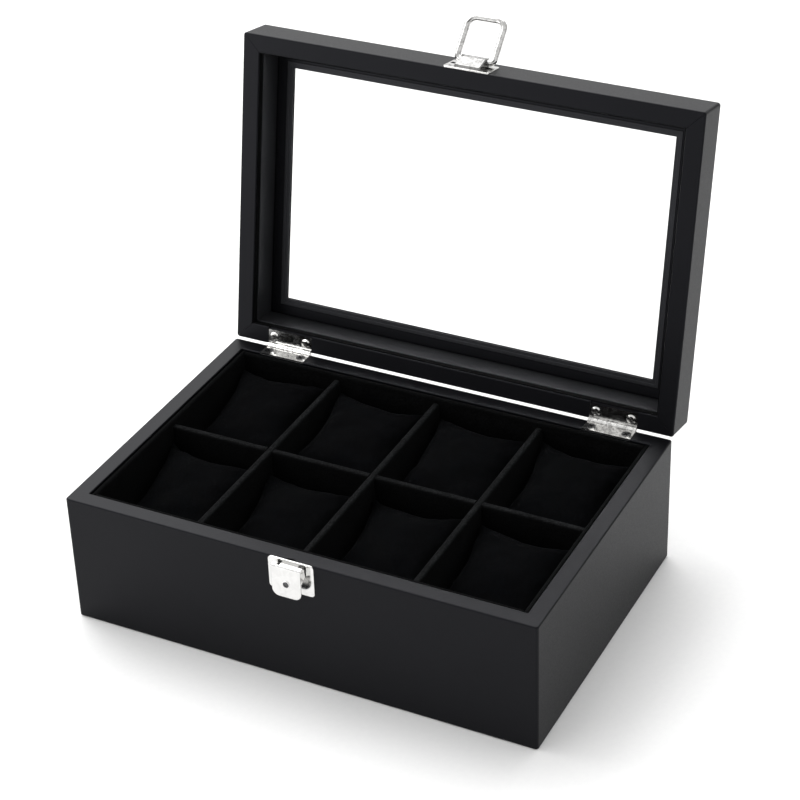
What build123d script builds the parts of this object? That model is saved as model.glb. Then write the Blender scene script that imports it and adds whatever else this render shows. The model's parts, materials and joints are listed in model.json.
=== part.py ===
from build123d import *
import os

# Watch box: a lined wooden base with compartments, a framed glass lid on two butt hinges,
# a wire hasp on the lid and a sprung catch on the front. Millimetres, +X right, +Y back, +Z up.
# The origin is the middle of the underside. The lid stands open, leaning on its stop.

# Driving sizes
WIDTH = 290.0
DEPTH = 194.0
BASE_HEIGHT = 82.0
LID_HEIGHT = 24.5
OPEN_ANGLE = 100.0
WALL = 10.0
COLUMNS = 4
ROWS = 2

# Case joinery
SEAM = 0.4                # gap between the closed lid and the base
CORNER_RADIUS = 1.7       # upright corners
EDGE_RADIUS = 0.9         # long outer edges
INNER_EDGE_RADIUS = 0.7
FELT_THICKNESS = 1.0
PANEL_THICKNESS = 4.0
OVERHANG = 20.0           # how far cutting tools run past the case

# Lining and compartments
LINING = 3.2
LINING_DROP = 1.0         # lining top below the rim
SOFT_RADIUS = 1.5         # rounded tops of the velvet boards
FLOOR_LINING = 16.0        # a foam board under the velvet
DIVIDER = 4.4
DIVIDER_DROP = 4.5        # divider tops below the rim
LAP_CLEARANCE = 0.1

# Pillows
PILLOW_SIDE_GAP = 3.0
PILLOW_END_GAP = 3.4
PILLOW_REST_GAP = 0.4
PILLOW_BACK_TOP = 67.0
PILLOW_FRONT_TOP = 57.0
PILLOW_RADIUS = 8.0

# Lid
LID_RIM = 10.9
LID_PANEL = 3.0
LIP_DEPTH = 4.6            # bare inner face of the rails, under the liners
LID_LINER = 1.0
LIP_RIBBON = 0.5           # velvet ribbon on the bare inner face
SHADOW_GROOVE = (0.8, 1.0) # width and depth, in the top board beside the liners
LID_FRAME = 23.0          # outer edge to the clear window
GLASS_LAP = 3.3
GLASS_THICKNESS = 1.6
GLASS_COVER = 0.8         # wood left above the glass
BEAD_WIDTH = 4.0
BEAD_DROP = 1.0
MITRE_GAP = 0.2

# Butt hinges
HINGE_X = 107.5
HINGE_WIDTH = 30.0
HINGE_OFFSET = 0.6        # axis behind the back face
LEAF = 1.0
LEAF_REACH = 9.6          # leaf depth over the wall
LID_LEAF_SINK = 0.3
KNUCKLES = 5
KNUCKLE_RADIUS = 1.8
KNUCKLE_GAP = 0.15
PIN_RADIUS = 0.9
RUNNING = 0.05            # radial clearance of a turning pin
LEAF_SCREW_X = 11.0
LEAF_SCREW_INSET = 5.2
RECESS_CLEARANCE = 0.15

# Front catch
PLATE = 0.8
PLATE_EDGE_RADIUS = 0.25
CATCH_PLATE = (28.0, 20.5)
CATCH_COVER = (18.0, 20.0)
COVER_STANDOFF = 6.6      # case face to the outside of the cover
COVER_TOP_DROP = 0.6
CATCH_PIVOT_DROP = 3.1
CATCH_PIVOT_STANDOFF = 3.9
CATCH_PIN_RADIUS = 0.6
TONGUE_WIDTH = 10.0
TONGUE_RADIUS = 1.5
EAR_RADIUS = 2.0
RIVET_DROP = 11.8
RIVET_RADIUS = 1.8
COLLAR = (0.6, 0.3)        # width and height of the raised rim round the rivet
RIVET_RECESS = 0.7        # rivet end below the top of the rim
RIVET_BUTTON = (1.15, 0.4)  # radius and height of the raised middle of the rivet
SPRING_WIRE = 0.25
SPRING_TURNS = 3.25
CATCH_SCREW = (11.4, 10.5)  # from the middle, down from the rim

# Lid hasp
HASP_PLATE = (29.0, 16.2)
HASP_PIVOT_RISE = 13.0    # above the lid's underside
LOOP_WIRE_RADIUS = 1.9
LOOP_STANDOFF = 3.0       # wire axis in front of the lid
LOOP_HALF_WIDTH = 11.6
LOOP_LENGTH = 26.0
LOOP_END_RADIUS = 5.4
LOOP_FOOT_RADIUS = 2.6
LOOP_TILT = 35.0          # how far the loop leans out from the lid's plane
STRAP_WIDTH = 16.0
STRAP_WALL = 0.7
HASP_SCREW = (11.2, 3.2)

HALF_W = WIDTH / 2
HALF_D = DEPTH / 2
INNER_W = HALF_W - WALL - LINING      # half width between the linings
INNER_D = HALF_D - WALL - LINING
FLOOR_Z = FELT_THICKNESS + PANEL_THICKNESS
REST_Z = FLOOR_Z + FLOOR_LINING
DIVIDER_TOP = BASE_HEIGHT - DIVIDER_DROP
PITCH_X = (2 * INNER_W + DIVIDER) / COLUMNS
PITCH_Y = (2 * INNER_D + DIVIDER) / ROWS
LID_Z = BASE_HEIGHT + SEAM
HINGE_Y = HALF_D + HINGE_OFFSET
HINGE_Z = BASE_HEIGHT + SEAM / 2
HINGE_AXIS = Axis((0, HINGE_Y, HINGE_Z), (1, 0, 0))
CATCH_Y = -HALF_D - CATCH_PIVOT_STANDOFF
CATCH_Z = BASE_HEIGHT - CATCH_PIVOT_DROP
HASP_Y = -HALF_D - LOOP_STANDOFF
HASP_Z = LID_Z + HASP_PIVOT_RISE
HASP_AXIS = Axis((0, HASP_Y, HASP_Z), (1, 0, 0))


def block(x0, x1, y0, y1, z0, z1):
    """A box between two corners."""
    centre = Pos((x0 + x1) / 2, (y0 + y1) / 2, (z0 + z1) / 2)
    return centre * Box(x1 - x0, y1 - y0, z1 - z0)


def rod_x(radius, x0, x1, y, z):
    """A round bar along X."""
    return Pos((x0 + x1) / 2, y, z) * Rot(0, 90, 0) * Cylinder(radius, x1 - x0)


def slab_x(points, x0, x1):
    """A (y, z) outline extruded along X."""
    face = Plane((x0, 0, 0), x_dir=(0, 1, 0), z_dir=(1, 0, 0)) * make_face(Polyline(*points, close=True))
    return extrude(face, x1 - x0)


def edges_at(part, axis, value, tolerance=0.01):
    """Edges whose two ends lie at one height along an axis."""
    def at_value(edge):
        ends = [getattr(edge @ t, axis) for t in (0, 1)]
        return all(abs(end - value) < tolerance for end in ends)
    return part.edges().filter_by(at_value)


def screw(head_radius, shank_radius, length, dome):
    """A countersunk cross-head screw, its head level with z = 0 and its point down."""
    sink = head_radius - shank_radius
    outline = Polyline((0, dome), (head_radius * 0.6, dome * 0.8), (head_radius, 0), (shank_radius, -sink),
                       (shank_radius, -length + shank_radius), (0, -length), close=True)
    body = revolve(Plane.XZ * make_face(outline), Axis.Z)
    slot_depth = head_radius * 0.35
    for turn in (45, 135):
        slot = Pos(0, 0, dome - slot_depth / 2) * Box(head_radius * 1.25, head_radius * 0.3, slot_depth + 0.01)
        body -= Rot(0, 0, turn) * slot
    return body


def screw_hole(head_radius, shank_radius, length):
    """The countersunk hole that such a screw fills."""
    sink = head_radius - shank_radius
    outline = Polyline((0, 1), (head_radius, 1), (head_radius, 0), (shank_radius, -sink),
                       (shank_radius, -length), (0, -length), close=True)
    return revolve(Plane.XZ * make_face(outline), Axis.Z)


def mitred(ring, gap=0.0):
    """Cut a rectangular ring into front, back, left and right lengths with mitred ends."""
    out_w, out_d = HALF_W + OVERHANG, HALF_D + OVERHANG
    ridge = HALF_W - HALF_D
    low, high = -OVERHANG, BASE_HEIGHT + LID_HEIGHT + OVERHANG
    shift = gap / 2
    outlines = {
        "front": [(-out_w + shift, -out_d), (out_w - shift, -out_d), (ridge - shift, 0), (-ridge + shift, 0)],
        "right": [(out_w, -out_d + shift), (out_w, out_d - shift), (ridge + shift, 0)],
    }
    outlines["back"] = [(x, -y) for x, y in outlines["front"]]
    outlines["left"] = [(-x, y) for x, y in outlines["right"]]
    pieces = {}
    for side, outline in outlines.items():
        wedge = extrude(Plane.XY.offset(low) * make_face(Polyline(*outline, close=True)), high - low)
        pieces[side] = ring & wedge
    return pieces


def case_ring(z0, z1, wall, soft_bottom, soft_top):
    """A rectangular ring with rounded outer corners and eased long edges."""
    ring = block(-HALF_W, HALF_W, -HALF_D, HALF_D, z0, z1)
    ring = fillet(ring.edges().filter_by(Axis.Z), CORNER_RADIUS)
    rounded = []
    if soft_bottom:
        rounded += edges_at(ring, "Z", z0)
    if soft_top:
        rounded += edges_at(ring, "Z", z1)
    ring = fillet(rounded, EDGE_RADIUS)
    hollow = block(wall - HALF_W, HALF_W - wall, wall - HALF_D, HALF_D - wall, z0 - 1, z1 + 1)
    return ring - hollow


def base_boards():
    ring = case_ring(0, BASE_HEIGHT, WALL, soft_bottom=True, soft_top=True)
    inner = [e for e in edges_at(ring, "Z", BASE_HEIGHT)
             if abs(e.center().X) < HALF_W - WALL + 0.1 and abs(e.center().Y) < HALF_D - WALL + 0.1]
    ring = fillet(inner, INNER_EDGE_RADIUS)
    boards = mitred(ring)
    for side in (-1, 1):
        boards["back"] -= leaf_recess(side, BASE_HEIGHT - LEAF, BASE_HEIGHT + 5)
        for hole in leaf_screws(side, upward=False, solid=False):
            boards["back"] -= hole
    for hole in catch_screw_shapes(solid=False):
        boards["front"] -= hole
    notch_half, notch_depth, notch_drop = 3.6, 1.6, 1.8
    notch_radius = (notch_half ** 2 + notch_depth ** 2) / (2 * notch_depth)
    notch_y = -HALF_D - notch_radius + notch_depth
    boards["front"] -= Pos(0, notch_y, BASE_HEIGHT) * Cylinder(notch_radius, 2 * notch_drop)
    return {f"base_{side}_board": board for side, board in boards.items()}


def base_bottom():
    w, d = HALF_W - WALL, HALF_D - WALL
    felt_inset = 0.5
    panel = block(-w, w, -d, d, FELT_THICKNESS, FLOOR_Z)
    felt = block(-w + felt_inset, w - felt_inset, -d + felt_inset, d - felt_inset, 0, FELT_THICKNESS)
    return {"base_bottom_panel": panel, "base_felt": felt}


def soft_board(x0, x1, y0, y1, z0, z1, along):
    """A velvet-covered board with a rounded top."""
    board = block(x0, x1, y0, y1, z0, z1)
    top = [e for e in edges_at(board, "Z", z1) if abs(getattr(e % 0.5, along)) > 0.9]
    return fillet(top, SOFT_RADIUS)


def linings():
    w, d = HALF_W - WALL, HALF_D - WALL
    top = BASE_HEIGHT - LINING_DROP
    pieces = {"lining_floor": block(-INNER_W, INNER_W, -INNER_D, INNER_D, FLOOR_Z, REST_Z)}
    for name, sign in (("left", -1), ("right", 1)):
        x0, x1 = sorted((sign * w, sign * INNER_W))
        pieces[f"lining_{name}"] = soft_board(x0, x1, -d, d, FLOOR_Z, top, "Y")
    for name, sign in (("front", -1), ("back", 1)):
        y0, y1 = sorted((sign * d, sign * INNER_D))
        pieces[f"lining_{name}"] = soft_board(-INNER_W, INNER_W, y0, y1, FLOOR_Z, top, "X")
    return pieces


def dividers():
    """One long board and the cross boards, half-lapped where they meet."""
    half = DIVIDER / 2
    lap_z = (REST_Z + DIVIDER_TOP) / 2
    lap = half + LAP_CLEARANCE / 2
    long_board = soft_board(-INNER_W, INNER_W, -half, half, REST_Z, DIVIDER_TOP, "X")
    pieces = {}
    for index, name in enumerate(("left", "middle", "right")):
        x = (index + 1 - COLUMNS / 2) * PITCH_X
        cross = soft_board(x - half, x + half, -INNER_D, INNER_D, REST_Z, DIVIDER_TOP, "Y")
        cross -= block(x - 5, x + 5, -lap, lap, REST_Z - 1, lap_z)
        long_board -= block(x - lap, x + lap, -5, 5, lap_z, DIVIDER_TOP + 1)
        pieces[f"divider_cross_{name}"] = cross
    pieces["divider_long"] = long_board
    return pieces


def pillow(x, y):
    """A plain closed block the size of one cushion, its top sloping down to the front."""
    half_w = (PITCH_X - DIVIDER) / 2 - PILLOW_SIDE_GAP
    half_l = (PITCH_Y - DIVIDER) / 2 - PILLOW_END_GAP
    bottom = REST_Z + PILLOW_REST_GAP
    outline = [(y - half_l, bottom), (y + half_l, bottom),
               (y + half_l, PILLOW_BACK_TOP), (y - half_l, PILLOW_FRONT_TOP)]
    solid = slab_x(outline, x - half_w, x + half_w)
    return fillet(solid.edges(), PILLOW_RADIUS)


def pillows():
    pieces = {}
    for row, row_name in enumerate(("front", "back")):
        for column in range(COLUMNS):
            x = (column + 0.5 - COLUMNS / 2) * PITCH_X
            y = (row + 0.5 - ROWS / 2) * PITCH_Y
            pieces[f"pillow_{row_name}_{column + 1}"] = pillow(x, y)
    return pieces


def leaf_recess(side, z0, z1):
    """The pocket for a hinge leaf and its knuckles."""
    half = HINGE_WIDTH / 2 + RECESS_CLEARANCE
    x = side * HINGE_X
    pocket = block(x - half, x + half, HALF_D - WALL - 2, HALF_D + 5, z0, z1)
    return pocket + rod_x(KNUCKLE_RADIUS + RECESS_CLEARANCE, x - half, x + half, HINGE_Y, HINGE_Z)


def leaf_face(upward):
    """The height of a leaf's outer face: the base leaf faces up, the lid leaf faces down."""
    return LID_Z + LID_LEAF_SINK if upward else BASE_HEIGHT


def leaf_screws(side, upward, solid=True):
    """Two screws, or their holes, through one hinge leaf. upward: into the lid."""
    head, shank, length = 2.9, 1.2, 8.0
    dome = 0.25 if upward else 0.0
    shape = screw(head, shank, length, dome) if solid else screw_hole(head, shank, length)
    turn = Rot(180, 0, 0) if upward else Rot(0, 0, 0)
    y = HALF_D - LEAF_SCREW_INSET
    place = [Pos(side * HINGE_X + s * LEAF_SCREW_X, y, leaf_face(upward)) for s in (-1, 1)]
    return [p * turn * shape for p in place]


def hinge_leaf(side, upward):
    """A leaf with its own knuckles of the rolled barrel."""
    x0 = side * HINGE_X - HINGE_WIDTH / 2
    step = HINGE_WIDTH / KNUCKLES
    face = leaf_face(upward)
    z0, z1 = (face, face + LEAF) if upward else (face - LEAF, face)
    bore = PIN_RADIUS + (RUNNING if upward else 0)
    web_end = HINGE_Y - KNUCKLE_RADIUS - KNUCKLE_GAP
    leaf = block(x0, x0 + HINGE_WIDTH, HALF_D - LEAF_REACH, web_end, z0, z1)
    for index in range(1 if upward else 0, KNUCKLES, 2):
        k0 = x0 + index * step + (KNUCKLE_GAP / 2 if index else 0)
        k1 = x0 + (index + 1) * step - (KNUCKLE_GAP / 2 if index < KNUCKLES - 1 else 0)
        leaf += block(k0, k1, web_end - 0.5, HINGE_Y, z0, z1)
        leaf += rod_x(KNUCKLE_RADIUS, k0, k1, HINGE_Y, HINGE_Z)
    leaf -= rod_x(bore, x0 - 1, x0 + HINGE_WIDTH + 1, HINGE_Y, HINGE_Z)
    for hole in leaf_screws(side, upward, solid=False):
        leaf -= hole
    return leaf


def hinges():
    """Base half and lid half of both hinges."""
    base, lid = {}, {}
    for name, side in (("left", -1), ("right", 1)):
        x0 = side * HINGE_X - HINGE_WIDTH / 2
        base[f"{name}_hinge_base_leaf"] = hinge_leaf(side, upward=False)
        base[f"{name}_hinge_pin"] = rod_x(PIN_RADIUS, x0 - 0.3, x0 + HINGE_WIDTH + 0.3, HINGE_Y, HINGE_Z)
        base[f"{name}_hinge_base_screws"] = leaf_screws(side, upward=False)
        lid[f"{name}_hinge_lid_leaf"] = hinge_leaf(side, upward=True)
        lid[f"{name}_hinge_lid_screws"] = leaf_screws(side, upward=True)
    return base, lid


def on_front(x, z, y=-HALF_D):
    """A place on the front face with its local +Z pointing forward and local +Y up."""
    return Plane((x, y, z), x_dir=(1, 0, 0), z_dir=(0, -1, 0)).location


def soft_plate(width, height, corner_radius):
    """A stamped plate with rounded corners and a softened front edge."""
    plate = extrude(RectangleRounded(width, height, corner_radius), PLATE)
    return fillet(plate.edges().group_by(Axis.Z)[-1], PLATE_EDGE_RADIUS)


def catch_screw_shapes(solid=True):
    head, shank, length = 1.9, 0.8, 7.0
    shape = screw(head, shank, length, 0.0) if solid else screw_hole(head, shank, length)
    z = BASE_HEIGHT - CATCH_SCREW[1]
    return [on_front(s * CATCH_SCREW[0], z, -HALF_D - PLATE) * shape for s in (-1, 1)]


def catch_back_plate():
    """The fixed plate with a tongue rolled round the pivot pin."""
    width, height = CATCH_PLATE
    middle = BASE_HEIGHT - height / 2
    plate = on_front(0, middle) * soft_plate(width, height, 2.2)
    front = -HALF_D - PLATE
    half = TONGUE_WIDTH / 2
    sheet = 0.7
    plate += rod_x(TONGUE_RADIUS, -half, half, CATCH_Y, CATCH_Z)
    plate += block(-half, half, CATCH_Y, front + 0.1, CATCH_Z + TONGUE_RADIUS - sheet, CATCH_Z + TONGUE_RADIUS)
    plate -= rod_x(CATCH_PIN_RADIUS, -half - 1, half + 1, CATCH_Y, CATCH_Z)
    for hole in catch_screw_shapes(solid=False):
        plate -= hole
    return plate


def catch_cover():
    """The sprung cover: rounded lower corners, a folded top notched for the tongue, and two ears on the pin."""
    width, height = CATCH_COVER
    half = width / 2
    outer = -HALF_D - COVER_STANDOFF
    back = outer + PLATE
    top = BASE_HEIGHT - COVER_TOP_DROP
    bottom = top - height
    lower_radius, fold_radius, edge_radius = 4.4, 1.5, 0.3
    flange_depth = 3.0
    face = block(-half, half, outer, back, bottom, top)
    lower = [e for e in face.edges().filter_by(Axis.Y) if e.center().Z < bottom + 0.1]
    cover = fillet(lower, lower_radius)
    cover += block(-half, half, outer, outer + flange_depth, top - PLATE, top)
    fold = [e for e in cover.edges().filter_by(Axis.X)
            if abs(e.center().Z - top) < 0.01 and abs(e.center().Y - outer) < 0.01]
    cover = fillet(fold, fold_radius)
    outline = [e for e in cover.edges() if abs(e.center().Y - outer) < 0.01]
    cover = fillet(outline, edge_radius)
    ear_foot = (CATCH_Y + 2.4, CATCH_Z - 4.6)
    ear_outline = [(back, top - PLATE), (CATCH_Y, CATCH_Z + EAR_RADIUS), (CATCH_Y + EAR_RADIUS, CATCH_Z),
                   ear_foot, (ear_foot[0] - 1.6, ear_foot[1] - 0.6), (back, ear_foot[1] - 2.4)]
    notch_half = TONGUE_WIDTH / 2 + 1.2
    cover -= block(-notch_half, notch_half, outer + PLATE + 0.2, CATCH_Y + 1, top - PLATE, top + 1)
    for x0 in (-half, half - PLATE):
        ear = slab_x(ear_outline, x0, x0 + PLATE)
        ear += rod_x(EAR_RADIUS, x0, x0 + PLATE, CATCH_Y, CATCH_Z)
        cover += ear
    cover -= rod_x(CATCH_PIN_RADIUS + RUNNING, -half - 1, half + 1, CATCH_Y, CATCH_Z)
    rivet_place = on_front(0, BASE_HEIGHT - RIVET_DROP, outer)
    collar = extrude(Circle(RIVET_RADIUS + COLLAR[0]), COLLAR[1])
    cover += rivet_place * fillet(collar.edges().group_by(Axis.Z)[-1], 0.25)
    return cover - rivet_place * Cylinder(RIVET_RADIUS, 4 * PLATE)


def catch_rivet():
    """The rivet that fills the cover's rim: a sunk end with a raised button in the middle."""
    end = -HALF_D - COVER_STANDOFF - COLLAR[1] + RIVET_RECESS
    length = PLATE + COLLAR[1] - RIVET_RECESS
    tail_radius, tail_height = RIVET_RADIUS + 0.8, 0.5
    shank = extrude(Circle(RIVET_RADIUS), -length)
    tail = Pos(0, 0, -length) * extrude(Circle(tail_radius), -tail_height)
    button = extrude(Circle(RIVET_BUTTON[0]), RIVET_BUTTON[1])
    button = fillet(button.edges().group_by(Axis.Z)[-1], 0.3)
    return on_front(0, BASE_HEIGHT - RIVET_DROP, end) * (shank + tail + button)


def catch_spring():
    """A torsion spring round the pivot pin, one leg on the plate and one down behind the cover."""
    coil_radius = 1.3
    x0 = TONGUE_WIDTH / 2 + 0.4
    pitch = 2 * SPRING_WIRE + 0.1
    helix = Helix(pitch, pitch * SPRING_TURNS, coil_radius, center=(x0, CATCH_Y, CATCH_Z), direction=(1, 0, 0))
    start, end = helix @ 0, helix @ 1
    to_plate = start.Y + HALF_D + PLATE
    down_cover = 5.0
    first_leg = Edge.make_line(start + (helix % 0) * to_plate, start)
    last_leg = Edge.make_line(end, end + (helix % 1) * down_cover)
    path = Wire([first_leg, helix, last_leg])
    return sweep(Plane(path @ 0, z_dir=path % 0) * Circle(SPRING_WIRE), path=path)


def catch():
    ear_outer = CATCH_COVER[0] / 2
    fixed = {
        "catch_back_plate": catch_back_plate(),
        "catch_pivot_pin": rod_x(CATCH_PIN_RADIUS, -ear_outer - 0.4, ear_outer + 0.4, CATCH_Y, CATCH_Z),
        "catch_spring": catch_spring(),
        "catch_plate_screws": catch_screw_shapes(),
    }
    moving = {"catch_cover": catch_cover(), "catch_cover_rivet": catch_rivet()}
    return fixed, moving


def lid_rails():
    top = LID_Z + LID_HEIGHT - LID_PANEL
    ring = case_ring(LID_Z, LID_Z + LID_HEIGHT, LID_RIM, soft_bottom=True, soft_top=True)
    ring &= block(-HALF_W, HALF_W, -HALF_D, HALF_D, LID_Z, top)
    inner = [e for e in edges_at(ring, "Z", LID_Z)
             if abs(e.center().X) < HALF_W - LID_RIM + 0.1 and abs(e.center().Y) < HALF_D - LID_RIM + 0.1]
    ring = fillet(inner, INNER_EDGE_RADIUS)
    rails = mitred(ring, MITRE_GAP)
    for side in (-1, 1):
        rails["back"] -= leaf_recess(side, LID_Z - 5, LID_Z + LID_LEAF_SINK + LEAF)
        for hole in leaf_screws(side, upward=True, solid=False):
            rails["back"] -= hole
    for hole in hasp_screw_shapes(solid=False):
        rails["front"] -= hole
    return {f"lid_{side}_rail": rail for side, rail in rails.items()}


def window(inset, z0, z1):
    """A rectangular block, inset from the lid's outline."""
    return block(inset - HALF_W, HALF_W - inset, inset - HALF_D, HALF_D - inset, z0, z1)


def lid_top_panel():
    """The top board, with a window and a rebate for the glass under it."""
    z0, z1 = LID_Z + LID_HEIGHT - LID_PANEL, LID_Z + LID_HEIGHT
    whole = block(-HALF_W, HALF_W, -HALF_D, HALF_D, LID_Z, z1)
    whole = fillet(whole.edges().filter_by(Axis.Z), CORNER_RADIUS)
    whole = fillet(edges_at(whole, "Z", z1), EDGE_RADIUS)
    panel = whole & block(-HALF_W, HALF_W, -HALF_D, HALF_D, z0, z1)
    panel -= window(LID_FRAME - BEAD_WIDTH, z0 - 1, z1 - GLASS_COVER)
    panel -= window(LID_FRAME, z0 - 1, z1 + 1)
    groove_width, groove_depth = SHADOW_GROOVE
    inset = LID_RIM + LID_LINER
    panel -= window(inset, z0 - 1, z0 + groove_depth) - window(inset + groove_width, z0 - 2, z0 + groove_depth + 1)
    rim = [e for e in edges_at(panel, "Z", z1)
           if abs(e.center().X) < HALF_W - LID_FRAME + 0.1 and abs(e.center().Y) < HALF_D - LID_FRAME + 0.1]
    return fillet(rim, 0.5)


def glass_pane():
    z1 = LID_Z + LID_HEIGHT - GLASS_COVER
    return window(LID_FRAME - GLASS_LAP, z1 - GLASS_THICKNESS, z1)


def lid_liners():
    inset = LID_RIM + LID_LINER
    z0, z1 = LID_Z + LIP_DEPTH, LID_Z + LID_HEIGHT - LID_PANEL
    ring = window(LID_RIM, z0, z1) - window(inset, z0 - 1, z1 + 1)
    inner = [e for e in edges_at(ring, "Z", z0)
             if abs(e.center().X) < HALF_W - inset + 0.1 and abs(e.center().Y) < HALF_D - inset + 0.1]
    ring = fillet(inner, 0.4)
    return {f"lid_liner_{side}": strip for side, strip in mitred(ring).items()}


def lid_ribbon():
    """A band of velvet round the inner face of the rails, in front of the liners."""
    z0, z1 = LID_Z + INNER_EDGE_RADIUS + 0.1, LID_Z + LIP_DEPTH
    return window(LID_RIM, z0, z1) - window(LID_RIM + LIP_RIBBON, z0 - 1, z1 + 1)


def glazing_beads():
    """A stepped bead round the window that holds the glass up in its rebate."""
    glass_bottom = LID_Z + LID_HEIGHT - GLASS_COVER - GLASS_THICKNESS
    outer = LID_FRAME - BEAD_WIDTH
    step = BEAD_WIDTH / 2
    low = glass_bottom - BEAD_DROP
    ring = window(outer, low, glass_bottom) - window(LID_FRAME, low - 1, glass_bottom + 1)
    ring -= window(outer + step, low - 1, low + BEAD_DROP / 2)
    ring = fillet(edges_at(ring, "Z", low), 0.3)
    return {f"glazing_bead_{side}": strip for side, strip in mitred(ring).items()}


def hasp_screw_shapes(solid=True):
    head, shank, length = 1.8, 0.8, 7.0
    shape = screw(head, shank, length, 0.0) if solid else screw_hole(head, shank, length)
    z = LID_Z + HASP_SCREW[1]
    return [on_front(s * HASP_SCREW[0], z, -HALF_D - PLATE) * shape for s in (-1, 1)]


def hasp_plate():
    """The plate on the lid's front edge, with a slot each side of the strap."""
    width, height = HASP_PLATE
    foot = 0.2
    middle = LID_Z + foot + height / 2
    plate = on_front(0, middle) * soft_plate(width, height, 1.6)
    slot_width, slot_height, slot_gap = 4.6, 2.8, 0.5
    slot_x = STRAP_WIDTH / 2 + slot_gap + slot_width / 2
    slot_z = HASP_Z - LOOP_WIRE_RADIUS - slot_height / 2 - slot_gap
    for side in (-1, 1):
        plate -= Pos(side * slot_x, -HALF_D, slot_z) * Box(slot_width, 4 * PLATE, slot_height)
    for hole in hasp_screw_shapes(solid=False):
        plate -= hole
    return plate


def hasp_strap():
    """The raised strap that holds the loop's axle down on the plate."""
    half = STRAP_WIDTH / 2
    front = -HALF_D - PLATE
    radius = LOOP_WIRE_RADIUS + RUNNING + STRAP_WALL
    crown = HASP_Y - radius
    toe_z, toe_depth = LID_Z + 1.6, 1.4
    outline = [(front, toe_z), (front - toe_depth, toe_z + 0.6), (crown + 0.3, HASP_Z - 3.0),
               (crown, HASP_Z), (front, HASP_Z)]
    strap = slab_x(outline, -half, half)
    toe = [e for e in strap.edges() if abs(abs(e.center().X) - half) < 0.01
           and e.center().Z < HASP_Z - 3.2 and e.center().Y < front - 0.1]
    strap = chamfer(toe, 0.5)
    strap += rod_x(radius, -half, half, HASP_Y, HASP_Z) & block(-half, half, crown - 1, front, 0, HASP_Z + 9)
    return strap - rod_x(LOOP_WIRE_RADIUS + RUNNING, -half - 1, half + 1, HASP_Y, HASP_Z)


def hasp_loop():
    """A closed wire loop hanging from its axle, then swung up to its resting tilt."""
    w, length = LOOP_HALF_WIDTH, LOOP_LENGTH
    corners = [(-w, 0), (w, 0), (w, -length), (-w, -length)]
    radii = [LOOP_FOOT_RADIUS, LOOP_FOOT_RADIUS, LOOP_END_RADIUS, LOOP_END_RADIUS]
    face = Plane((0, HASP_Y, HASP_Z), x_dir=(1, 0, 0), z_dir=(0, -1, 0))
    loop = None
    for index, corner in enumerate(corners):
        before, after = corners[index - 1], corners[(index + 1) % 4]
        start, bend_in, bend_out, end = bend_points(before, corner, after, radii[index])
        path = face.location * (Line(start, bend_in) + bend(corner, bend_in, bend_out) + Line(bend_out, end))
        wire = sweep(Plane(path @ 0, z_dir=path % 0) * Circle(LOOP_WIRE_RADIUS), path=path)
        loop = wire if loop is None else loop + wire
    return loop.rotate(HASP_AXIS, -(90 + LOOP_TILT))


def bend_points(before, corner, after, radius):
    """Where a rounded corner of a rectangular ring starts and stops, from the middle of each side."""
    here = Vector(*corner)
    back, ahead = Vector(*before) - here, Vector(*after) - here
    return here + back / 2, here + back.normalized() * radius, here + ahead.normalized() * radius, here + ahead / 2


def bend(corner, bend_in, bend_out):
    """The quarter circle that joins two sides at right angles."""
    centre = bend_in + bend_out - Vector(*corner)
    radius = (bend_in - centre).length
    middle = centre + (Vector(*corner) - centre).normalized() * radius
    return ThreePointArc(bend_in, middle, bend_out)


def lid():
    _, pieces = hinges()
    pieces.update(lid_rails())
    pieces["lid_top_panel"] = lid_top_panel()
    pieces["glass_pane"] = glass_pane()
    pieces["lid_ribbon"] = lid_ribbon()
    pieces.update(lid_liners())
    pieces.update(glazing_beads())
    pieces["hasp_plate"] = hasp_plate()
    pieces["hasp_strap"] = hasp_strap()
    pieces["hasp_screws"] = hasp_screw_shapes()
    pieces["hasp_loop"] = hasp_loop()
    return {name: opened(shape) for name, shape in pieces.items()}


def opened(shape):
    """Turn a piece of the closed lid to its open rest pose."""
    if isinstance(shape, list):
        return [opened(one) for one in shape]
    return shape.rotate(HINGE_AXIS, -OPEN_ANGLE)


def base():
    pieces, _ = hinges()
    pieces.update(base_boards())
    pieces.update(base_bottom())
    pieces.update(linings())
    pieces.update(dividers())
    fixed, moving = catch()
    pieces.update(fixed)
    pieces.update(moving)
    return pieces


def main():
    os.makedirs("parts", exist_ok=True)
    pieces = {**base(), **pillows(), **lid()}
    for name, shape in pieces.items():
        node = Compound(children=shape) if isinstance(shape, list) else shape
        export_step(node, f"parts/{name}.step")
    print(len(pieces), "nodes")


main()
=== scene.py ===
"""The looks of the watch box: finishes for the CAD pieces, stuffed velvet pillows, floor, light and camera.

Everything is in metres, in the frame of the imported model: +Z up, the front at -Y, the hinges at +Y.
"""
import json
import math
import random

import bpy
from mathutils import Matrix, Vector, noise


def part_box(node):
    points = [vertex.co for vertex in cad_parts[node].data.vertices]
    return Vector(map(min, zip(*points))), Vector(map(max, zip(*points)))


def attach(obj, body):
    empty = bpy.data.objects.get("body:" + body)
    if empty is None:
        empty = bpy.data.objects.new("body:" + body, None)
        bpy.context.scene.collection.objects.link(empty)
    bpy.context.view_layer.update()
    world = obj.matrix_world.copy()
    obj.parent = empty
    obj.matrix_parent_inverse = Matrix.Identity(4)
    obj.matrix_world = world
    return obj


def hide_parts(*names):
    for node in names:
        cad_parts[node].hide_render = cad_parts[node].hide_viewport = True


MM = 0.001

# Camera, aimed at a point near the back of the tray
CAMERA_TARGET = Vector((5.7, 26.1, 114.7)) * MM
CAMERA_DISTANCE = 1320.8 * MM
CAMERA_AZIMUTH = 27.48
CAMERA_ELEVATION = 32.08
CAMERA_ROLL = -2.02
CAMERA_LENS = 104.27

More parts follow.
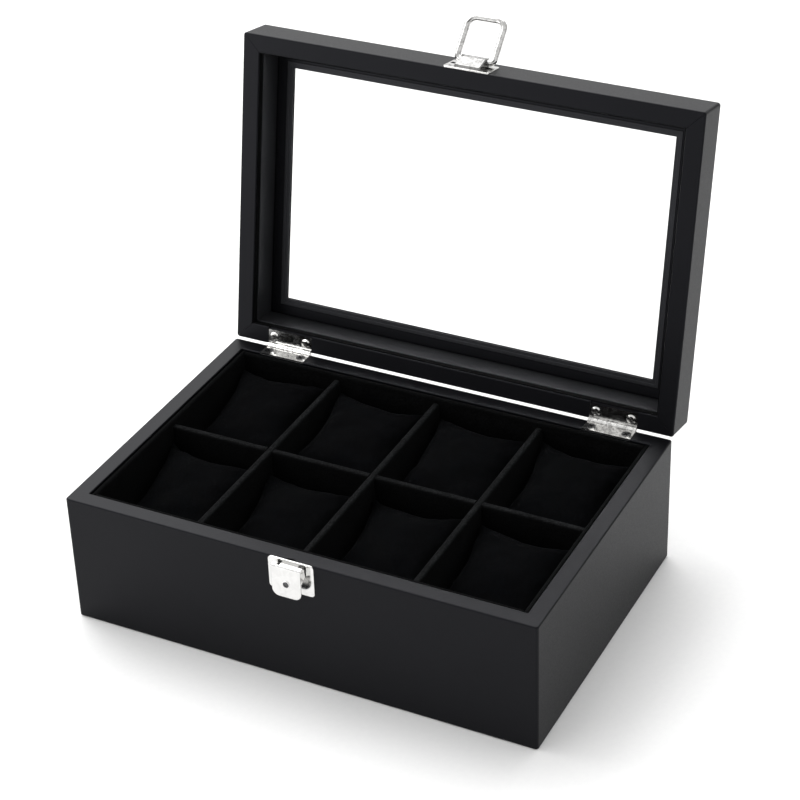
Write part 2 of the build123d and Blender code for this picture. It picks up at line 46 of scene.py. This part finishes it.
# Light
SKY_BRIGHT_SIDE = Vector((-0.35, 0.57, 0.74))   # behind the box, above and to the left
SKY_LOW, SKY_HIGH = 1.0, 3.8                    # brightness away from that side and towards it
SKY_SPREAD = (0.80, 0.97)                       # cosines where the brighter side starts and is full
SKY_DIM_SIDE = Vector((0.80, 0.60, -0.10))      # behind the box and to the right
SKY_DIM = 0.40                                  # share of light left at the middle of that side
SKY_DIM_SPREAD = (0.70, 1.0)
SKY_DARK_SIDE = Vector((0.39, -0.75, 0.53))     # a dark patch in front, mirrored in round metal
SKY_DARK = 0.15
SKY_DARK_SPREAD = (0.925, 0.96)
KEY_POWER = 20.0                                # watts
KEY_SIZE = 1.4
KEY_PLACE = Vector((-1.3, 0.1, 1.7))
FILL_POWER = 8.0
FILL_SIZE = 0.9
FILL_PLACE = Vector((-1.3, -1.5, 0.35))
FLOOR_SIZE = 9.0
FLOOR_DROP = 0.3 * MM

# Pillows
PILLOW_COLUMNS = 4
PILLOW_SEED = 8
PILLOW_CELLS = (28, 36)          # across and along one panel
EAR_HALF = Vector((28.2, 36.0)) * MM   # middle of the pillow to its ears
PULL_IN = (0.13, 0.11)           # how far the sides draw in between the ears, as a share of the half size
SIDE_CURVE = 1.7                 # 1 draws the sides in to a point, 2 to a round curve
SEAM_SLOPE = math.tan(math.radians(9.5))       # each pillow leans towards the front
SEAM_HEIGHT = {"front": 58.5 * MM, "back": 63.5 * MM}
EAR_LIFT = 2.5 * MM              # how far the ears stand above the sides of the seam
EAR_POINT = 7.0                  # higher makes the ears smaller and sharper
CROWN = 8.0 * MM
BELLY_ROUNDNESS = 3.2            # 2 is an ellipse, more is boxier
SEAM_RIDGE = 0.7 * MM
SEAM_CREASE = 0.9
BROAD_LUMPS = (17 * MM, 1.1 * MM)      # size and depth
SMALL_LUMPS = (7 * MM, 0.3 * MM)
EAR_WRINKLES = (6 * MM, 1.2 * MM)
EAR_TUCK = 0.05                  # the most that an ear is tucked in, as a share
EAR_TUCK_POINT = 6
LIFT_CHANCE = 2.5 * MM           # the most that a corner stands higher or lower than its neighbours
TURN_CHANCE = 1.5                # degrees
SHIFT_CHANCE = 0.6               # mm
CLOTH_FRAMES = 16
CLOTH_PRESSURE = 4.0
CLOTH_CAP = 3.2 * MM
SEAM_GIVE = 0.3                  # share of the inflation that the sewn seam follows
WALL_GAP = 0.7 * MM              # kept between a pillow and its compartment
WALL_REACH = Vector((3.0, 3.4)) * MM   # how far the compartment goes beyond the pillow's CAD solid


# Colours of the velvets, in the dips and on the tips of the nap, and of their sheen
LINING_DARK = (0.0010, 0.00104, 0.0011)
LINING_LIGHT = (0.0020, 0.0021, 0.0022)
LINING_SHEEN = 0.009
LINING_TINT = (0.92, 0.96, 1.0)
PILLOW_DARK = (0.0002, 0.00026, 0.00036)
PILLOW_LIGHT = (0.0006, 0.00074, 0.00100)
PILLOW_SHEEN = 0.003
PILLOW_TINT = (0.85, 0.92, 1.0)

DRAWN_LINES = (0.05, 1, 1)       # stretches the noise along X into lines

# Pieces that differ from the rest of their material slot: divider tops painted brighter as painted light
# from above, cleaner plating on the catch, a darker nickel on the hasp loop, and a much darker copy of the
# nickel on the hasp strap as painted shade
OTHER_FINISHES = {
    "divider_long": "divider_velvet_painted_light",
    "divider_cross_left": "divider_velvet_painted_light",
    "divider_cross_middle": "divider_velvet_painted_light",
    "divider_cross_right": "divider_velvet_painted_light",
    "catch_cover": "smooth_nickel",
    "catch_back_plate": "smooth_nickel",
    # The hasp strap gets a much darker copy of the nickel as painted shade.
    "hasp_strap": "nickel_painted_shade",
    "hasp_loop": "hasp_nickel",
}


def new_material(name):
    """A node material with one Principled shader. Returns the material, its node tree and the shader."""
    material = bpy.data.materials.new(name)
    material.use_nodes = True
    tree = material.node_tree
    return material, tree, tree.nodes["Principled BSDF"]


def coordinates(tree, stretch=(1, 1, 1)):
    """Object coordinates in metres, which are the same for every piece, stretched along the axes."""
    source = tree.nodes.new("ShaderNodeTexCoord")
    mapping = tree.nodes.new("ShaderNodeMapping")
    mapping.inputs["Scale"].default_value = stretch
    tree.links.new(source.outputs["Object"], mapping.inputs["Vector"])
    return mapping.outputs["Vector"]


def noise_texture(tree, vector, scale, detail=3.0, roughness=0.5, distortion=0.0):
    """Noise from 0 to 1, with scale features to the metre."""
    texture = tree.nodes.new("ShaderNodeTexNoise")
    texture.inputs["Scale"].default_value = scale
    texture.inputs["Detail"].default_value = detail
    texture.inputs["Roughness"].default_value = roughness
    texture.inputs["Distortion"].default_value = distortion
    tree.links.new(vector, texture.inputs["Vector"])
    return texture.outputs["Fac"]


def colour_ramp(tree, factor, stops):
    """Maps a factor to colours. stops is a list of (position, (r, g, b))."""
    ramp = tree.nodes.new("ShaderNodeValToRGB")
    elements = ramp.color_ramp.elements
    while len(elements) < len(stops):
        elements.new(0.5)
    for element, (position, colour) in zip(elements, stops):
        element.position = position
        element.color = (*colour, 1.0)
    tree.links.new(factor, ramp.inputs["Fac"])
    return ramp.outputs["Color"]


def value_range(tree, factor, low, high, start=0.25, end=0.75):
    """Maps a factor between start and end to the range low to high."""
    node = tree.nodes.new("ShaderNodeMapRange")
    node.inputs["From Min"].default_value = start
    node.inputs["From Max"].default_value = end
    node.inputs["To Min"].default_value = low
    node.inputs["To Max"].default_value = high
    tree.links.new(factor, node.inputs["Value"])
    return node.outputs["Result"]


def multiplied(tree, first, second):
    """The product of two colours, or of a colour and a number."""
    mix = tree.nodes.new("ShaderNodeMix")
    mix.data_type = "RGBA"
    mix.blend_type = "MULTIPLY"
    mix.inputs["Factor"].default_value = 1.0
    tree.links.new(first, mix.inputs["A"])
    tree.links.new(second, mix.inputs["B"])
    return mix.outputs["Result"]


def upwards(tree):
    """How far a face looks up in its own piece: 1 for a top face, 0 for an upright one."""
    source = tree.nodes.new("ShaderNodeTexCoord")
    parts = tree.nodes.new("ShaderNodeSeparateXYZ")
    tree.links.new(source.outputs["Normal"], parts.inputs["Vector"])
    return parts.outputs["Z"]


def bumps(tree, shader, layers):
    """Chains bump layers into the shader's normal. layers is a list of (height output, depth in metres)."""
    normal = None
    for height, depth in layers:
        bump = tree.nodes.new("ShaderNodeBump")
        bump.inputs["Strength"].default_value = 1.0
        bump.inputs["Distance"].default_value = depth
        tree.links.new(height, bump.inputs["Height"])
        if normal is not None:
            tree.links.new(normal, bump.inputs["Normal"])
        normal = bump.outputs["Normal"]
    tree.links.new(normal, shader.inputs["Normal"])


def lacquer(name, dark, light, rough, specular):
    """Satin black paint on board: a fine spray texture, faint orange peel and faint cloudiness."""
    material, tree, shader = new_material(name)
    vector = coordinates(tree)
    spray = noise_texture(tree, vector, 1500.0, 3.0, 0.7)
    orange_peel = noise_texture(tree, vector, 520.0, 2.0, 0.5)
    cloud = noise_texture(tree, vector, 14.0, 4.0, 0.6)
    tint = colour_ramp(tree, cloud, [(0.3, dark), (0.7, light)])
    speckle = colour_ramp(tree, spray, [(0.35, (0.7, 0.7, 0.7)), (0.65, (1.35, 1.35, 1.35))])
    tree.links.new(multiplied(tree, tint, speckle), shader.inputs["Base Color"])
    tree.links.new(value_range(tree, spray, rough - 0.08, rough + 0.08), shader.inputs["Roughness"])
    bumps(tree, shader, [(orange_peel, 0.022 * MM), (spray, 0.030 * MM)])
    shader.inputs["Specular IOR Level"].default_value = specular
    shader.inputs["Specular Tint"].default_value = (0.89, 0.90, 1.0, 1.0)
    return material


def velvet(name, dark, light, sheen, sheen_tint, painted_top_light=1.0):
    """Black velvet: short pile with a soft nap that lies in patches.

    The last argument is how many times brighter the colour is painted on faces that look up, as painted
    light from above."""
    material, tree, shader = new_material(name)
    vector = coordinates(tree)
    pile = noise_texture(tree, vector, 950.0, 3.0, 0.75)
    nap = noise_texture(tree, vector, 70.0, 4.0, 0.6, 0.6)
    patches = colour_ramp(tree, nap, [(0.3, dark), (0.72, light)])
    speckle = colour_ramp(tree, pile, [(0.36, (0.2, 0.2, 0.2)), (0.64, (2.2, 2.2, 2.2))])
    colour = multiplied(tree, patches, speckle)
    # Painted light: faces that look up get a brighter colour, painted as if lit from above.
    if painted_top_light > 1.0:
        colour = multiplied(tree, colour, value_range(tree, upwards(tree), 1.0, painted_top_light, 0.6, 0.95))
    tree.links.new(colour, shader.inputs["Base Color"])
    tree.links.new(value_range(tree, nap, 0.86, 0.98), shader.inputs["Roughness"])
    bumps(tree, shader, [(nap, 0.10 * MM), (pile, 0.09 * MM)])
    shader.inputs["Specular IOR Level"].default_value = 0.03
    shader.inputs["Sheen Weight"].default_value = sheen
    shader.inputs["Sheen Roughness"].default_value = 0.5
    shader.inputs["Sheen Tint"].default_value = (*sheen_tint, 1.0)
    return material


def felt():
    """Pressed black felt under the case: short tangled fibres."""
    material, tree, shader = new_material("underside_felt")
    vector = coordinates(tree)
    fibres = noise_texture(tree, vector, 1400.0, 4.0, 0.75, 2.0)
    mottle = noise_texture(tree, vector, 90.0, 3.0, 0.6)
    colour = colour_ramp(tree, mottle, [(0.3, (0.007, 0.007, 0.008)), (0.7, (0.013, 0.013, 0.014))])
    tree.links.new(colour, shader.inputs["Base Color"])
    tree.links.new(value_range(tree, fibres, 0.88, 1.0), shader.inputs["Roughness"])
    bumps(tree, shader, [(fibres, 0.25 * MM)])
    shader.inputs["Sheen Weight"].default_value = 0.08
    return material


def metal(name, dark, light, rough):
    """Plated steel: a mottled haze in the plating, and faint lines drawn across the width of the box."""
    material, tree, shader = new_material(name)
    lines = noise_texture(tree, coordinates(tree, DRAWN_LINES), 900.0, 3.0, 0.6)
    haze = noise_texture(tree, coordinates(tree), 220.0, 3.0, 0.6, 1.5)
    colour = colour_ramp(tree, haze, [(0.38, dark), (0.56, light)])
    tree.links.new(colour, shader.inputs["Base Color"])
    tree.links.new(value_range(tree, haze, rough - 0.03, rough + 0.05), shader.inputs["Roughness"])
    bumps(tree, shader, [(haze, 0.02 * MM), (lines, 0.002 * MM)])
    shader.inputs["Metallic"].default_value = 1.0
    return material


def glass():
    """Clear float glass with the faintest haze of dust."""
    material, tree, shader = new_material("clear_glass")
    dust = noise_texture(tree, coordinates(tree), 60.0, 5.0, 0.7)
    tree.links.new(value_range(tree, dust, 0.0, 0.01), shader.inputs["Roughness"])
    colour = colour_ramp(tree, dust, [(0.3, (0.985, 0.99, 0.99)), (0.7, (0.995, 1.0, 1.0))])
    tree.links.new(colour, shader.inputs["Base Color"])
    shader.inputs["Transmission Weight"].default_value = 1.0
    shader.inputs["IOR"].default_value = 1.22
    return material


def floor_material():
    """Plain pale studio paper."""
    material, tree, shader = new_material("studio_paper")
    grain = noise_texture(tree, coordinates(tree), 300.0, 3.0, 0.6)
    colour = colour_ramp(tree, grain, [(0.3, (0.82, 0.82, 0.82)), (0.7, (0.84, 0.84, 0.836))])
    tree.links.new(colour, shader.inputs["Base Color"])
    shader.inputs["Roughness"].default_value = 0.9
    shader.inputs["Specular IOR Level"].default_value = 0.1
    return material


def paint_cad_nodes():
    """Gives every CAD piece the finish of its material slot, or its own. Returns the finishes by name."""
    finishes = {
        "black_lacquer": lacquer(
            "black_lacquer", (0.0009, 0.0010, 0.0014), (0.0016, 0.0017, 0.0023), rough=0.42, specular=0.14),
        "lid_trim": lacquer(
            "lid_trim", (0.0125, 0.0129, 0.0140), (0.0180, 0.0185, 0.0200), rough=0.42, specular=0.20),
        "lining_velvet": velvet(
            "lining_velvet", LINING_DARK, LINING_LIGHT, LINING_SHEEN, LINING_TINT),
        # The dividers' velvet, with its top faces painted three times brighter as painted light from above.
        "divider_velvet_painted_light": velvet(
            "divider_velvet_painted_light", LINING_DARK, LINING_LIGHT, LINING_SHEEN, LINING_TINT, painted_top_light=3.0),
        "pillow_velvet": velvet(
            "pillow_velvet", PILLOW_DARK, PILLOW_LIGHT, PILLOW_SHEEN, PILLOW_TINT),
        "underside_felt": felt(),
        "bright_nickel": metal("bright_nickel", (0.50, 0.495, 0.485), (0.75, 0.745, 0.73), rough=0.12),
        "smooth_nickel": metal("smooth_nickel", (0.70, 0.695, 0.685), (0.76, 0.755, 0.745), rough=0.14),
        "hasp_nickel": metal("hasp_nickel", (0.43, 0.427, 0.42), (0.62, 0.615, 0.605), rough=0.11),
        # The hasp strap's nickel, painted much darker than the rest of the plating as painted shade.
        "nickel_painted_shade": metal("nickel_painted_shade", (0.18, 0.178, 0.175), (0.30, 0.297, 0.292), rough=0.16),
        "rivet_steel": metal("rivet_steel", (0.07, 0.07, 0.072), (0.11, 0.11, 0.113), rough=0.28),
        "clear_glass": glass(),
    }
    for subpart in frame["record"]["subparts"]:
        piece = frame["nodes"][subpart["node"]]
        piece.data.materials.clear()
        finish = OTHER_FINISHES.get(subpart["node"], subpart["material_slot"])
        piece.data.materials.append(finishes[finish])
    return finishes


def panel_outline(u, v, ears):
    """Where the flat panel puts grid point (u, v), both from -1 to 1: sides drawn in between its ears.

    ears is the share that each corner is tucked in: front left, front right, back left, back right."""
    x = u * EAR_HALF.x * (1 - PULL_IN[0] * (1 - abs(v) ** SIDE_CURVE))
    y = v * EAR_HALF.y * (1 - PULL_IN[1] * (1 - abs(u) ** SIDE_CURVE))
    corner = (1 if u > 0 else 0) + (2 if v > 0 else 0)
    tuck = ears[corner] * (abs(u) * abs(v)) ** EAR_TUCK_POINT
    return x * (1 - tuck), y * (1 - tuck)


def seam_lift(u, v, lifts):
    """How far the seam stands above its sloping plane, with each corner's own lift in metres."""
    weights = [(1 - u) * (1 - v), (1 + u) * (1 - v), (1 - u) * (1 + v), (1 + u) * (1 + v)]
    ear = EAR_LIFT * abs(u * v) ** EAR_POINT
    return ear + sum(w * lift for w, lift in zip(weights, lifts)) / 4


def pillow_points(ears, lifts, floor_z, seam_z):
    """Vertices and faces of a stuffed pillow about its middle: a crowned top panel sewn to a deep lower one.

    Returns the points, the faces, and the indices of the points on the seam."""
    across, along = PILLOW_CELLS
    points, faces, seam = [], [], []

    def seam_point(u, v):
        x, y = panel_outline(u, v, ears)
        return x, y, seam_z + SEAM_SLOPE * y + seam_lift(u, v, lifts)

    grid = {}
    for i in range(across + 1):
        for j in range(along + 1):
            u, v = 2 * i / across - 1, 2 * j / along - 1
            x, y, z = seam_point(u, v)
            crown = CROWN * ((1 - u * u) * (1 - v * v)) ** 0.5
            if abs(u) == 1 or abs(v) == 1:
                seam.append(len(points))
            grid[i, j] = len(points)
            points.append(Vector((x, y, z + crown)))
    under = dict(grid)
    power = 2 / BELLY_ROUNDNESS
    for i in range(1, across):
        for j in range(1, along):
            u, v = 2 * i / across - 1, 2 * j / along - 1
            ring = max(abs(u), abs(v), 1e-6)
            angle = ring * math.pi / 2
            edge_x, edge_y, edge_z = seam_point(u / ring, v / ring)
            spread, depth = math.sin(angle) ** power, math.cos(angle) ** power
            z = edge_z + (floor_z - edge_z) * depth
            under[i, j] = len(points)
            points.append(Vector((edge_x * spread, edge_y * spread, z)))
    for i in range(across):
        for j in range(along):
            corners = [(i, j), (i + 1, j), (i + 1, j + 1), (i, j + 1)]
            faces.append([grid[c] for c in corners])
            faces.append([under[c] for c in reversed(corners)])
    return points, faces, seam


def soften(piece, seam):
    """Inflates the pillow a little by cloth simulation. The seam, a list of indices, mostly holds still."""
    start = [v.co.copy() for v in piece.data.vertices]
    cloth = piece.modifiers.new("cloth", "CLOTH")
    settings = cloth.settings
    settings.quality = 6
    settings.mass = 0.15
    settings.tension_stiffness = 18
    settings.compression_stiffness = 18
    settings.shear_stiffness = 8
    settings.bending_stiffness = 0.4
    settings.use_pressure = True
    settings.uniform_pressure_force = CLOTH_PRESSURE
    settings.shrink_min = -0.06
    settings.effector_weights.gravity = 0
    cloth.collision_settings.use_collision = False
    cloth.point_cache.frame_start = 1
    cloth.point_cache.frame_end = CLOTH_FRAMES
    for step in range(1, CLOTH_FRAMES + 1):
        bpy.context.scene.frame_set(step)
    posed = piece.evaluated_get(bpy.context.evaluated_depsgraph_get()).data
    moved = [v.co.copy() for v in posed.vertices]
    piece.modifiers.remove(cloth)
    bpy.context.scene.frame_set(1)
    held = set(seam)
    for vertex, before, after in zip(piece.data.vertices, start, moved):
        shift = after - before
        if shift.length > CLOTH_CAP:
            shift *= CLOTH_CAP / shift.length
        if vertex.index in held:
            shift *= SEAM_GIVE
        vertex.co = before + shift


def lumpy(point, seed, lumps, share=1.0):
    """A soft random offset for a point. lumps is their size and depth, and share scales the depth."""
    size, depth = lumps
    return noise.noise_vector(point / size + Vector((seed * 7.3, seed * 3.1, seed * 5.7))) * (depth * share)


def make_pillow(row, column, ears, lifts, turn, shift):
    """One pillow in its compartment. turn is in degrees and shift is across and along, in mm."""
    node = f"pillow_{row}_{column}"
    low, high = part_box(node)
    middle = (low + high) / 2
    seed = column + (10 if row == "back" else 0)
    points, faces, seam = pillow_points(ears, lifts, low.z, SEAM_HEIGHT[row])
    mesh = bpy.data.meshes.new(f"{node}_cushion")
    mesh.from_pydata(points, [], faces)
    piece = bpy.data.objects.new(f"{node}_cushion", mesh)
    bpy.context.scene.collection.objects.link(piece)
    soften(piece, seam)
    seam_points = set(seam)
    rotation = Matrix.Rotation(math.radians(turn), 3, "Z")
    limit = (high - low).xy / 2 + WALL_REACH - Vector((1, 1)) * WALL_GAP
    offset = Vector((shift[0], shift[1])) * MM
    for vertex in mesh.vertices:
        near_ear = abs(vertex.co.x * vertex.co.y) / (EAR_HALF.x * EAR_HALF.y)
        co = vertex.co + lumpy(vertex.co, seed, BROAD_LUMPS) + lumpy(vertex.co, seed + 3, SMALL_LUMPS)
        co += lumpy(vertex.co, seed + 6, EAR_WRINKLES, near_ear)
        if vertex.index in seam_points:
            outward = Vector((co.x, co.y, 0)).normalized()
            co += outward * SEAM_RIDGE
        co = rotation @ co
        co.x = max(-limit.x, min(limit.x, co.x + offset.x))
        co.y = max(-limit.y, min(limit.y, co.y + offset.y))
        co.z = max(low.z, co.z)
        vertex.co = co + Vector((middle.x, middle.y, 0))
    crease = mesh.attributes.new("crease_edge", "FLOAT", "EDGE")
    for edge in mesh.edges:
        if all(i in seam_points for i in edge.vertices):
            crease.data[edge.index].value = SEAM_CREASE
    for polygon in mesh.polygons:
        polygon.use_smooth = True
    smooth = piece.modifiers.new("smooth", "SUBSURF")
    smooth.levels = smooth.render_levels = 1
    mesh.materials.append(finishes["pillow_velvet"])
    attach(piece, f"{node}_body")
    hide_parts(node)
    return piece


def pillows():
    """The eight pillows, each stuffed and pushed into its place a little differently."""
    random.seed(PILLOW_SEED)
    noise.seed_set(PILLOW_SEED)
    for row in ("front", "back"):
        for column in range(1, PILLOW_COLUMNS + 1):
            ears = [random.uniform(0.0, EAR_TUCK) for _ in range(4)]
            lifts = [random.uniform(-LIFT_CHANCE, LIFT_CHANCE) for _ in range(4)]
            turn = random.uniform(-TURN_CHANCE, TURN_CHANCE)
            shift = [random.uniform(-SHIFT_CHANCE, SHIFT_CHANCE) for _ in range(2)]
            make_pillow(row, column, ears, lifts, turn, shift)


def studio_floor():
    """A plain floor just under the felt."""
    mesh = bpy.data.meshes.new("studio_floor")
    half = FLOOR_SIZE / 2
    corners = [(x, y, -FLOOR_DROP) for x, y in [(-half, -half), (half, -half), (half, half), (-half, half)]]
    mesh.from_pydata(corners, [], [(0, 1, 2, 3)])
    mesh.materials.append(floor_material())
    floor = bpy.data.objects.new("studio_floor", mesh)
    bpy.context.scene.collection.objects.link(floor)


def facing(tree, direction, side):
    """How squarely a sky direction points to one side: 1 straight at it, 0 square to it."""
    node = tree.nodes.new("ShaderNodeVectorMath")
    node.operation = "DOT_PRODUCT"
    node.inputs[1].default_value = side.normalized()
    tree.links.new(direction.outputs["Generated"], node.inputs[0])
    return node.outputs["Value"]


def product(tree, first, second):
    """The product of two numbers."""
    node = tree.nodes.new("ShaderNodeMath")
    node.operation = "MULTIPLY"
    tree.links.new(first, node.inputs[0])
    tree.links.new(second, node.inputs[1])
    return node.outputs["Value"]


def studio_light():
    """A soft white surround, brighter behind the box, a large softbox above and a small one low in front."""
    world = bpy.data.worlds.new("studio")
    world.use_nodes = True
    tree = world.node_tree
    direction = tree.nodes.new("ShaderNodeTexCoord")
    bright = value_range(tree, facing(tree, direction, SKY_BRIGHT_SIDE), SKY_LOW, SKY_HIGH, *SKY_SPREAD)
    dim = value_range(tree, facing(tree, direction, SKY_DIM_SIDE), 1.0, SKY_DIM, *SKY_DIM_SPREAD)
    dark = value_range(tree, facing(tree, direction, SKY_DARK_SIDE), 1.0, SKY_DARK, *SKY_DARK_SPREAD)
    strength = product(tree, product(tree, bright, dim), dark)
    tree.nodes["Background"].inputs["Color"].default_value = (1.0, 1.0, 1.0, 1.0)
    tree.links.new(strength, tree.nodes["Background"].inputs["Strength"])
    bpy.context.scene.world = world
    softbox("key_softbox", KEY_PLACE, KEY_SIZE, KEY_POWER)
    softbox("fill_softbox", FILL_PLACE, FILL_SIZE, FILL_POWER)


def softbox(name, place, size, power):
    """A square area light, turned to the middle of the box."""
    data = bpy.data.lights.new(name, "AREA")
    data.shape = "SQUARE"
    data.size = size
    data.energy = power
    lamp = bpy.data.objects.new(name, data)
    lamp.location = place
    lamp.rotation_euler = (CAMERA_TARGET - place).to_track_quat("-Z", "Y").to_euler()
    bpy.context.scene.collection.objects.link(lamp)


def studio_camera():
    """The camera, placed on a sphere round its target."""
    azimuth, elevation = math.radians(CAMERA_AZIMUTH), math.radians(CAMERA_ELEVATION)
    back = Vector((math.sin(azimuth) * math.cos(elevation), -math.cos(azimuth) * math.cos(elevation),
                   math.sin(elevation)))
    data = bpy.data.cameras.new("camera")
    data.lens = CAMERA_LENS
    data.clip_start, data.clip_end = 0.05, 50.0
    camera = bpy.data.objects.new("camera", data)
    camera.location = CAMERA_TARGET + back * CAMERA_DISTANCE
    look = (-back).to_track_quat("-Z", "Y").to_matrix()
    camera.rotation_euler = (look @ Matrix.Rotation(math.radians(CAMERA_ROLL), 3, "Z")).to_euler()
    bpy.context.scene.collection.objects.link(camera)
    bpy.context.scene.camera = camera


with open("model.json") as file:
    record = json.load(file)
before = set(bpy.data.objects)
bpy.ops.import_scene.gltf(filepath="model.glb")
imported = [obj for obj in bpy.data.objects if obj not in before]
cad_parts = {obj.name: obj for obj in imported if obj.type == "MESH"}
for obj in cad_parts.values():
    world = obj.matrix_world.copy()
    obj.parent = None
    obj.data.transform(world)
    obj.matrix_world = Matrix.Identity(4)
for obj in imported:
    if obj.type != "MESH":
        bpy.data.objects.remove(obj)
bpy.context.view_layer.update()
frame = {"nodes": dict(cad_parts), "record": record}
bpy.context.scene.view_settings.view_transform = "Standard"
studio_camera()
studio_floor()
studio_light()
finishes = paint_cad_nodes()
frame["nodes"]["glass_pane"].visible_shadow = False
pillows()
